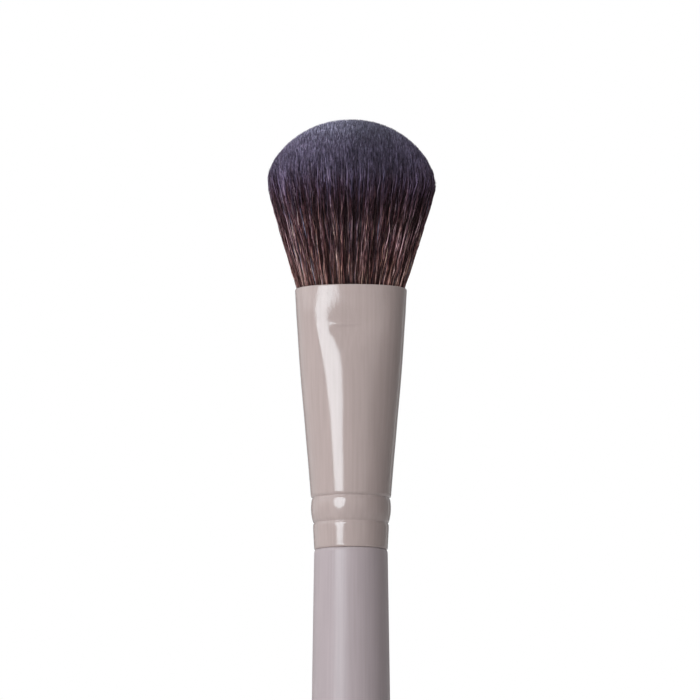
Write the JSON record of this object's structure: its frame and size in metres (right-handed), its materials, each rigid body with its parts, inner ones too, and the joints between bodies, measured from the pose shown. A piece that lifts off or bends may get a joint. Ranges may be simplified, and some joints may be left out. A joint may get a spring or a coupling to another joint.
{
  "type": "blush brush",
  "caption": "Blush brush: a dense domed hair head, oval at its root, in a tapered metal ferrule crimped by rolled grooves on a slim turned handle.",
  "frame": {"origin": "middle of the flat at the butt of the handle, where the upright brush stands", "axes": "+Z along the brush, from the butt to the tips of the hair; +X along the wide way of the oval mouth; -Y out of its broad front"},
  "size_m": [0.0304, 0.0232, 0.1787],
  "materials": {
    "handle_lacquer": "satin lacquer on turned wood",
    "ferrule_lacquer": "glossy lacquer on drawn aluminium",
    "glue": "cured epoxy",
    "thread": "twisted cotton",
    "hair": "dense soft fibre"
  },
  "bodies": {
    "root": {"handle": "handle_lacquer", "ferrule": "ferrule_lacquer", "tenon_glue": "glue", "root_glue": "glue", "root_tie": "thread", "hair_tuft": "hair"}
  },
  "joints": []
}
